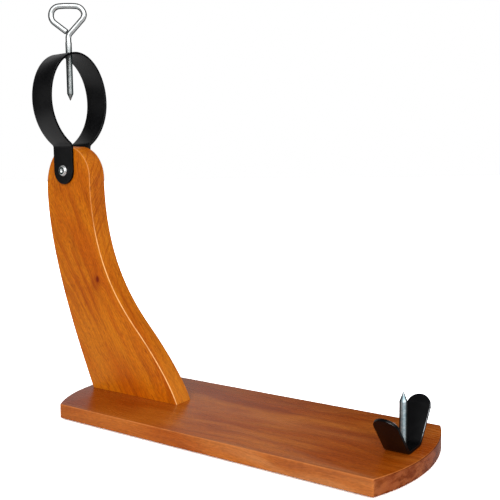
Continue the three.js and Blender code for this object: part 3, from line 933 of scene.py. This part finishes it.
def make_arm(material):
    low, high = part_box("arm")
    thickness = (high.y - low.y) / MM
    head_height = (high.z - low.z) / MM - ARM_CURVE["head_radius"]
    body = plank(arm_outline(head_height), thickness, ARM_ARRIS)
    moved(body, Matrix.Rotation(math.pi / 2, 4, "X"))
    everything = list(body.verts) + list(body.edges) + list(body.faces)
    ground = {"plane_co": (0, 0, 0), "plane_no": (0, 0, 1)}
    cut_off = bmesh.ops.bisect_plane(body, geom=everything, clear_inner=True, **ground)
    rim = [item for item in cut_off["geom_cut"] if isinstance(item, bmesh.types.BMEdge)]
    bmesh.ops.holes_fill(body, edges=rim)
    origin = Vector((0.0, middle("arm").y, low.z))
    bolt = (middle("clamp_bolt") - origin) / MM
    through = cylinder(BOLT_HOLE, -thickness, thickness)
    moved(through, Matrix.Translation((bolt.x, 0, bolt.z)) @ Matrix.Rotation(math.pi / 2, 4, "X"))
    cutters = [through]
    for node in ("arm_insert_1", "arm_insert_2"):
        size = extent(node)
        x = middle(node).x / MM
        cutters.append(shifted(cylinder(size.x / 2 + INSERT_ROOM, -2, size.z + 2 * INSERT_ROOM), x))
        cutters.append(shifted(cylinder(BOLT_HOLE, -2, size.z + BOLT_RUN_ON), x))
    piece("arm", cut(body, cutters), material, origin)


# ---------------------------------------------------------------- bent steel strip


def bent(body, centreline, step):
    """A flat strip, its length along X and its thickness along Z, bent along a centreline in the YZ plane.

    X of 0 goes to the middle of the centreline, and the side of the strip that faces +Z faces outwards.
    """
    line = resampled(centreline, 0.2)
    lengths = [0.0]
    for before, after in zip(line, line[1:]):
        lengths.append(lengths[-1] + (after - before).length)
    total = lengths[-1]
    cuts = int(total / step)
    for i in range(1, cuts):
        everything = list(body.verts) + list(body.edges) + list(body.faces)
        at = -total / 2 + total * i / cuts
        bmesh.ops.bisect_plane(body, geom=everything, plane_co=(at, 0, 0), plane_no=(1, 0, 0))
    spacing = total / (len(line) - 1)
    for vert in body.verts:
        along = vert.co.x + total / 2
        index = min(max(int(along / spacing), 1), len(line) - 2)
        while index > 1 and lengths[index] > along:
            index -= 1
        while index < len(line) - 2 and lengths[index + 1] < along:
            index += 1
        start, end = line[index], line[index + 1]
        share = (along - lengths[index]) / (lengths[index + 1] - lengths[index])
        first = (end - line[index - 1]).normalized()
        second = (line[min(index + 2, len(line) - 1)] - start).normalized()
        tangent = first.lerp(second, min(max(share, 0.0), 1.0)).normalized()
        point = start + (end - start) * share
        outward = Vector((-tangent.y, tangent.x))
        vert.co = (vert.co.y, *(point + outward * vert.co.z))
    bmesh.ops.recalc_face_normals(body, faces=body.faces)
    return body


def line_length(points):
    return sum((Vector(b) - Vector(a)).length for a, b in zip(points, points[1:]))


def stadium(length, width):
    """A strip with two half-round ends, its overall length along X."""
    radius = width / 2
    reach = length / 2 - radius
    return joined(
        arc((reach, 0), radius, -math.pi / 2, math.pi / 2, 32),
        arc((-reach, 0), radius, math.pi / 2, 3 * math.pi / 2, 32),
    )


def strip(centreline, width, thickness, holes, step=2.0):
    """A steel strip bent along its centreline, with round ends and (place along it, radius) holes."""
    length = line_length(centreline)
    body = plank(stadium(length, width), thickness, STRIP_ARRIS, steps=3)
    drills = [shifted(cylinder(radius, -thickness, thickness, 40), at) for at, radius in holes]
    return bent(cut(body, drills), centreline, step)


def collar_centreline(leg_y):
    """The bend above the right leg, and the rest up to the crown, in (y, z) from the clamp bolt."""
    shape = COLLAR
    flank_centre = shape["half_width"] - shape["flank_radius"]
    kink_angle = -math.acos((leg_y - flank_centre) / shape["flank_radius"])
    kink_height = shape["widest"] + shape["flank_radius"] * math.sin(kink_angle)
    start = kink_angle + shape["bend"] / shape["flank_radius"]
    flank = arc((flank_centre, shape["widest"]), shape["flank_radius"], start, 0.0, 48)
    kink = (leg_y, kink_height)
    bend = bezier((leg_y, kink_height - shape["bend"]), kink, kink, flank[0], 12)
    crown = []
    for i in range(65):
        angle = math.pi / 2 * i / 64
        rise = shape["crown_rise"] * math.sin(angle)
        crown.append((shape["half_width"] * math.cos(angle), shape["widest"] + rise))
    return bend, joined(flank, crown, closed=False)


def make_collar(material):
    origin = Vector((middle("collar_strap").x, 0.0, middle("clamp_bolt").z))
    leg_y = extent("arm").y / 2 + COLLAR_LEG_GAP + COLLAR["thickness"] / 2
    bend, rest = collar_centreline(leg_y)
    leg_end = (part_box("collar_strap")[0].z - origin.z) / MM
    right = joined([(leg_y, leg_end)], bend, rest, closed=False)
    line = right + [(-y, z) for y, z in reversed(right[:-1])]
    bolt_at = line_length(line) / 2 + leg_end
    holes = [(bolt_at, BOLT_HOLE), (-bolt_at, BOLT_HOLE), (0.0, ROD_HOLE)]
    body = strip(line, extent("collar_strap").x, COLLAR["thickness"], holes)
    piece("collar_strap", body, material, origin)


def make_cradle(material):
    lean = math.radians(CRADLE["lean"])
    kink = (CRADLE["floor_half"], CRADLE["thickness"] / 2)
    tip = (kink[0] + CRADLE["wing"] * math.sin(lean), kink[1] + CRADLE["wing"] * math.cos(lean))
    line = filleted([tip, kink, (-kink[0], kink[1]), (-tip[0], tip[1])], [CRADLE["bend_radius"]] * 2, 0.4)
    body = strip(line, extent("cradle_plate").x, CRADLE["thickness"], [(0.0, ROD_HOLE)])
    origin = Vector((middle("cradle_plate").x, 0.0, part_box("cradle_plate")[0].z))
    piece("cradle_plate", body, material, origin)


# ---------------------------------------------------------------- threaded rods


def thread_wave(turns):
    """Height of a worn rolled thread from 0 at the root to 1 at the crest, for a place in turns."""
    share = turns % 1.0
    rise = min(share, 1.0 - share) * 2
    return min(1.0, rise * 1.7) ** 0.8


def rod_rings(stations, segments=28):
    """Rings along a rod.

    A station is (centre, in-plane normal, side normal, radius, thread depth, distance).
    """
    rings = []
    for centre, normal, side, radius, depth, distance in stations:
        if radius < 1e-3:
            rings.append([tuple(centre)])
            continue
        ring = []
        for i in range(segments):
            angle = 2 * math.pi * i / segments
            turns = distance / THREAD["pitch"] - i / segments
            reach = radius - depth * (1 - thread_wave(turns)) if depth else radius
            ring.append(tuple(centre + normal * (reach * math.cos(angle)) + side * (reach * math.sin(angle))))
        rings.append(ring)
    return rings


def straight_stations(levels):
    """Stations down a rod on the Z axis from (height, radius, thread depth) levels."""
    normal, side = Vector((1, 0, 0)), Vector((0, -1, 0))
    return [(Vector((0, 0, z)), normal, side, radius, depth, -z) for z, radius, depth in levels]


def threaded_levels(top, bottom, radius):
    """Levels down a threaded length, whose thread fades in at the top and out at the bottom."""
    count = int((top - bottom) / THREAD["pitch"] * THREAD["rings_per_turn"])
    levels = []
    for i in range(count + 1):
        z = top + (bottom - top) * i / count
        fade = min(1.0, (top - z) / 1.5, (z - bottom) / 1.0 + 0.35)
        levels.append((z, radius, THREAD["depth"] * max(0.0, fade)))
    return levels


def make_eye_screw(material):
    origin = Vector((middle("collar_strap").x, 0.0, middle("clamp_bolt").z))
    tip = (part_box("eye_screw")[0].z - origin.z) / MM
    wire, radius = SCREW["wire"], SCREW["radius"]
    corners = [
        EYE["free_end"], (EYE["left"], EYE["left_knee"]), (EYE["left"], EYE["shoulder"]), (0.0, EYE["crown"]),
        (EYE["right"], EYE["shoulder"]), (EYE["right"], EYE["right_knee"]), (0.0, EYE["neck"]),
        (0.0, SCREW["thread_end"]),
    ]
    corner, knee = EYE["corner_radius"], EYE["knee_radius"]
    radii = [knee, corner, EYE["crown_radius"], corner, knee, EYE["neck_radius"]]
    line = resampled(filleted(corners, radii, 0.8), 1.2)
    side = Vector((0, 1, 0))
    stations = []
    for i, point in enumerate(line):
        tangent = (line[min(i + 1, len(line) - 1)] - line[max(i - 1, 0)]).normalized()
        normal = Vector((-tangent.y, 0, tangent.x))
        stations.append((Vector((point.x, 0, point.y)), normal, side, wire, 0.0, 0.0))
    end_easing = 0.5
    first = stations[0]
    along = (stations[1][0] - first[0]).normalized()
    stations[0] = (first[0] + along * end_easing, first[1], side, wire, 0.0, 0.0)
    stations.insert(0, (first[0], first[1], side, wire - end_easing, 0.0, 0.0))
    cone_top = tip + SCREW["cone"]
    levels = threaded_levels(SCREW["thread_end"] - 0.8, cone_top + 0.3, radius)
    levels += [(cone_top, radius - 0.1, 0.0), (tip + 0.2, 0.35, 0.0), (tip, 0.0, 0.0)]
    normal = stations[-1][1]
    stations += [(Vector((0, 0, z)), normal, side, r, depth, -z) for z, r, depth in levels]
    body = ring_body(rod_rings(stations))
    moved(body, Matrix.Rotation(math.radians(SCREW["turn"]), 4, "Z"))
    piece("eye_screw", body, material, origin, 60.0)


def make_spike(material):
    low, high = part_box("spike")
    centre = middle("spike")
    top, bottom = (high.z - centre.z) / MM, (low.z - centre.z) / MM
    radius = SPIKE["radius"]
    cone = top - SPIKE["cone"]
    levels = [(top, 0.0, 0.0), (top - 0.2, 0.4, 0.0), (cone, radius - 0.15, 0.0), (cone - 0.4, radius, 0.0)]
    levels += threaded_levels(cone - 0.8, bottom + 0.7, radius)
    levels += [(bottom, radius - 0.7, 0.0)]
    body = ring_body(rod_rings(straight_stations(levels)))
    piece("spike", body, material, centre, 60.0)


# ---------------------------------------------------------------- fasteners and feet

TO_BOLT_AXIS = Matrix.Rotation(-math.pi / 2, 4, "X")  # local Z to +Y, from the bolt's head to its nut


def bolt_body(profile, socket):
    """A bolt turned from its profile, head first, with a hexagon socket in its head."""
    across_flats, depth = socket
    return cut(turned(profile), [hex_bar(across_flats, -1, depth)])


def shank_profile(shank, head, length, chamfer):
    return [(shank, head), (shank, length - chamfer), (shank - 0.6, length), (0, length)]


def button_crown(radius, drop, steps=10):
    """The crown of a button head, from the edge of its flat middle to just short of its full radius."""
    flat = radius * CLAMP_BOLT["flat"]
    angles = [math.pi / 2 * i / steps for i in range(steps)]
    return [(flat + (radius - flat) * math.sin(a), drop * (1 - math.cos(a))) for a in angles]


def make_clamp_bolt(material):
    """A flanged button head with a hexagon socket, and a plain shank."""
    size = extent("clamp_bolt")
    flange = size.x / 2
    head, button = CLAMP_BOLT["head"], CLAMP_BOLT["button"]
    rim = head - CLAMP_BOLT["flange"]
    profile = [(0, 0), *button_crown(button, rim), (button, rim)]
    profile += [(flange - 0.5, rim + 0.1), (flange - 0.1, rim + 0.4)]
    profile += [(flange, head - 0.3), (flange - 0.2, head)]
    profile += shank_profile(CLAMP_BOLT["shank"], head, size.y, 0.7)
    body = moved(bolt_body(profile, CLAMP_BOLT["socket"]), TO_BOLT_AXIS)
    centre = middle("clamp_bolt")
    origin = Vector((centre.x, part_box("clamp_bolt")[0].y, centre.z))
    piece("clamp_bolt", body, material, origin, 32.0)


def make_arm_bolt(node, material):
    """A cap head with a hexagon socket, and a plain shank."""
    size = extent(node)
    radius, head = size.x / 2, ARM_BOLT["head"]
    profile = [(0, 0), (radius - 0.6, 0), (radius - 0.15, 0.2), (radius, 0.7)]
    profile += [(radius, head - 0.2), (radius - 0.2, head)]
    profile += shank_profile(ARM_BOLT["shank"], head, size.z, 0.6)
    piece(node, bolt_body(profile, ARM_BOLT["socket"]), material, base_of(node), 32.0)


def hole_radius(node):
    return ROD_HOLE if node.startswith("spike") else BOLT_HOLE


def make_washer(node, material, along_bolt=False):
    size = extent(node)
    half = (size.y if along_bolt else size.z) / 2
    inner, outer = hole_radius(node), size.x / 2
    body = turned(eased([(inner, -half), (outer, -half), (outer, half), (inner, half)]))
    if along_bolt:
        moved(body, TO_BOLT_AXIS)
    piece(node, body, material, middle(node), 30.0)


def make_nut(node, material, along_bolt=False):
    size = extent(node)
    height, across = (size.y, size.z) if along_bolt else (size.z, size.y)
    body = hexagonal(min(size.x, across) / 2, height, hole_radius(node), NUT_CHAMFER)
    shifted(body, z=-height / 2)
    if along_bolt:
        moved(body, TO_BOLT_AXIS)
    piece(node, body, material, middle(node), 25.0)


def make_insert(node, material, crests=6):
    """A brass insert with a coarse outer thread and a slot across its lower end."""
    size = extent(node)
    inner, outer, root = BOLT_HOLE, size.x / 2, size.x / 2 - 0.7
    pitch = size.z / crests
    profile = [(inner, 0.0)]
    for i in range(crests):
        base = size.z * i / crests
        profile += [(root, base + 0.02 * pitch), (outer, base + 0.4 * pitch), (outer, base + 0.6 * pitch)]
    profile += [(root, size.z - 0.02), (inner, size.z)]
    reach, half = outer + 1, 0.6
    outline = [(-reach, -half), (reach, -half), (reach, half), (-reach, half)]
    slot = ring_body([[(x, y, z) for x, y in outline] for z in (-1.0, 1.2)])
    piece(node, cut(turned(profile, 48), [slot]), material, base_of(node), 30.0)


def make_foot(node, material):
    """A rubber pad with a rounded lower rim and a shallow hollow underneath."""
    size = extent(node)
    radius, height, hollow = size.x / 2, size.z, 0.25
    profile = [(0, hollow), (radius * 0.55, hollow), (radius * 0.62, 0.0), (radius - 0.9, 0.0)]
    profile += [(radius - 0.3, 0.25), (radius, 0.8), (radius, height - 0.15)]
    profile += [(radius - 0.15, height), (0, height)]
    piece(node, turned(profile), material, base_of(node), 50.0)


# ---------------------------------------------------------------- studio

WHITE = (1.0, 1.0, 1.0, 1.0)
FLOOR_SEEN = (2.65, 2.65, 2.65, 1.0), (2.6, 2.6, 2.6, 1.0)
FLOOR_LIT = (0.75, 0.75, 0.75, 1.0)
FLOOR_MIRRORED = {"near": 0.42, "far": 0.06, "behind": 0.8}
ROOM_LIT = (0.3, 0.3, 0.305, 1.0)
ROOM_MIRRORED = 0.02
# A panel is the way to its middle, the angles where it starts and stops fading, and its brightness.
RIGHT_PANEL = (0.8, -0.6, 0.2), 34, 62, 2.0
LEFT_PANEL = (-0.65, -0.74, 0.12), 8, 22, 0.1
BACK_PANEL = (-0.79, 0.49, 0.37), 16, 34, 0.38
# A lamp is the way that its light comes from, its strength and its width in degrees.
LAMPS = {
    "key": ((0.45, -0.8, 0.4), 2.3, 40),
    "right_fill": ((0.9, -0.1, 0.35), 0.87, 60),
    "top_fill": ((-0.1, 0.1, 1.0), 0.35, 90),
}
CAMERA_PLACE = (0.445, -0.5832, 0.2516)
CAMERA_YAW, CAMERA_PITCH, CAMERA_ROLL = 0.5994, 0.0981, -0.0106
CAMERA_LENS = 52.94


def make_floor():
    """A wide floor, white to the camera. Polished things see it dim, and bright only behind the stand."""
    bpy.ops.mesh.primitive_plane_add(size=400.0, location=(0, 0, 0))
    floor = bpy.context.object
    floor.name = "studio_floor"
    material, tree, place, _ = new_material("pale_floor")
    path = add(tree, "LightPath").outputs
    seen = mixed(tree, noise(tree, place, 6.0, 2.0), *FLOOR_SEEN)
    tone = mixed(tree, path["Is Camera Ray"], FLOOR_LIT, seen)
    spot = add(tree, "NewGeometry").outputs["Position"]
    mirrored = remap(tree, length(tree, spot), 0.5, 1.8, FLOOR_MIRRORED["near"], FLOOR_MIRRORED["far"])
    behind = remap(tree, axis(tree, spot, "Y"), 0.3, 1.2, 0.0, FLOOR_MIRRORED["behind"])
    mirrored = grey(tree, math_node(tree, "MAXIMUM", mirrored, behind))
    tone = mixed(tree, path["Is Glossy Ray"], tone, mirrored)
    shader = add(tree, "BsdfDiffuse", {"Color": tone})
    add(tree, "OutputMaterial", {"Surface": shader.outputs[0]})
    floor.data.materials.append(material)


def panel(tree, direction, towards, inner_degrees, outer_degrees, brightness):
    """A soft round panel, full inside one angle from its middle and gone outside the other."""
    near = vector(tree, "DOT_PRODUCT", direction, Vector(towards).normalized(), "Value")
    outer, inner = math.cos(math.radians(outer_degrees)), math.cos(math.radians(inner_degrees))
    return remap(tree, near, outer, inner, 0.0, brightness)


def make_world():
    """White to the camera, an even grey to lit surfaces, and a dim room with panels to polished ones."""
    world = bpy.data.worlds.new("studio")
    bpy.context.scene.world = world
    world.use_nodes = True
    tree = world.node_tree
    tree.nodes.clear()
    path = add(tree, "LightPath").outputs
    direction = add(tree, "TexCoord").outputs["Generated"]
    room = math_node(tree, "ADD", panel(tree, direction, *RIGHT_PANEL), ROOM_MIRRORED)
    room = grey(tree, math_node(tree, "ADD", room, panel(tree, direction, *LEFT_PANEL)))
    room = mixed(tree, panel(tree, direction, *BACK_PANEL), room, WHITE, "ADD")
    light = mixed(tree, path["Is Glossy Ray"], ROOM_LIT, room)
    light = mixed(tree, path["Is Camera Ray"], light, WHITE)
    background = add(tree, "Background", {"Color": light})
    add(tree, "OutputWorld", {"Surface": background.outputs[0]})


def make_lamp(name, comes_from, strength, spread_degrees):
    """A distant soft lamp that polished surfaces don't mirror."""
    data = bpy.data.lights.new(name, "SUN")
    data.energy = strength
    data.angle = math.radians(spread_degrees)
    lamp = linked(name, data)
    lamp.rotation_euler = Vector(comes_from).to_track_quat("Z", "Y").to_euler()
    lamp.visible_glossy = False


def make_camera():
    """The camera stands to the front right of the stand, a little above the cradle."""
    data = bpy.data.cameras.new("camera")
    data.lens = CAMERA_LENS
    data.sensor_width = 36.0
    data.clip_start = 0.01
    data.clip_end = 100.0
    camera = linked("camera", data)
    turn = Matrix.Rotation(CAMERA_YAW, 4, "Z") @ Matrix.Rotation(math.pi / 2 - CAMERA_PITCH, 4, "X")
    turn = turn @ Matrix.Rotation(CAMERA_ROLL, 4, "Z")
    camera.matrix_world = Matrix.Translation(CAMERA_PLACE) @ turn
    bpy.context.scene.camera = camera


# ---------------------------------------------------------------- assembly

cradle_bend_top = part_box("cradle_plate")[0].z + 0.006
arm_finish = arm_wood()
board_finish = board_wood()
collar_paint = black_paint("collar_black_paint", 1.0, 0.76, 0.05, 0.0)
cradle_paint = black_paint("cradle_black_paint", 0.3, 0.6, 1.0, cradle_bend_top)
zinc = bright_zinc()
worn_zinc = dull_zinc()
brass = machined_brass()
rubber = foot_rubber()

make_board(board_finish)
make_arm(arm_finish)
make_collar(collar_paint)
make_cradle(cradle_paint)
make_eye_screw(screw_zinc())
make_spike(worn_zinc)
make_clamp_bolt(bolt_zinc())
make_washer("clamp_washer", zinc, along_bolt=True)
make_nut("clamp_nut", zinc, along_bolt=True)
make_washer("spike_washer", zinc)
make_nut("spike_nut", zinc)
for number in (1, 2):
    make_arm_bolt(f"arm_bolt_{number}", zinc)
    make_washer(f"arm_bolt_washer_{number}", zinc)
    make_insert(f"arm_insert_{number}", brass)
for corner in ("arm_front", "arm_back", "cradle_front", "cradle_back"):
    make_foot(f"foot_{corner}", rubber)

make_floor()
make_world()
for lamp, (comes_from, strength, spread) in LAMPS.items():
    make_lamp(lamp, comes_from, strength, spread)
make_camera()
bpy.context.scene.view_settings.view_transform = "Standard"
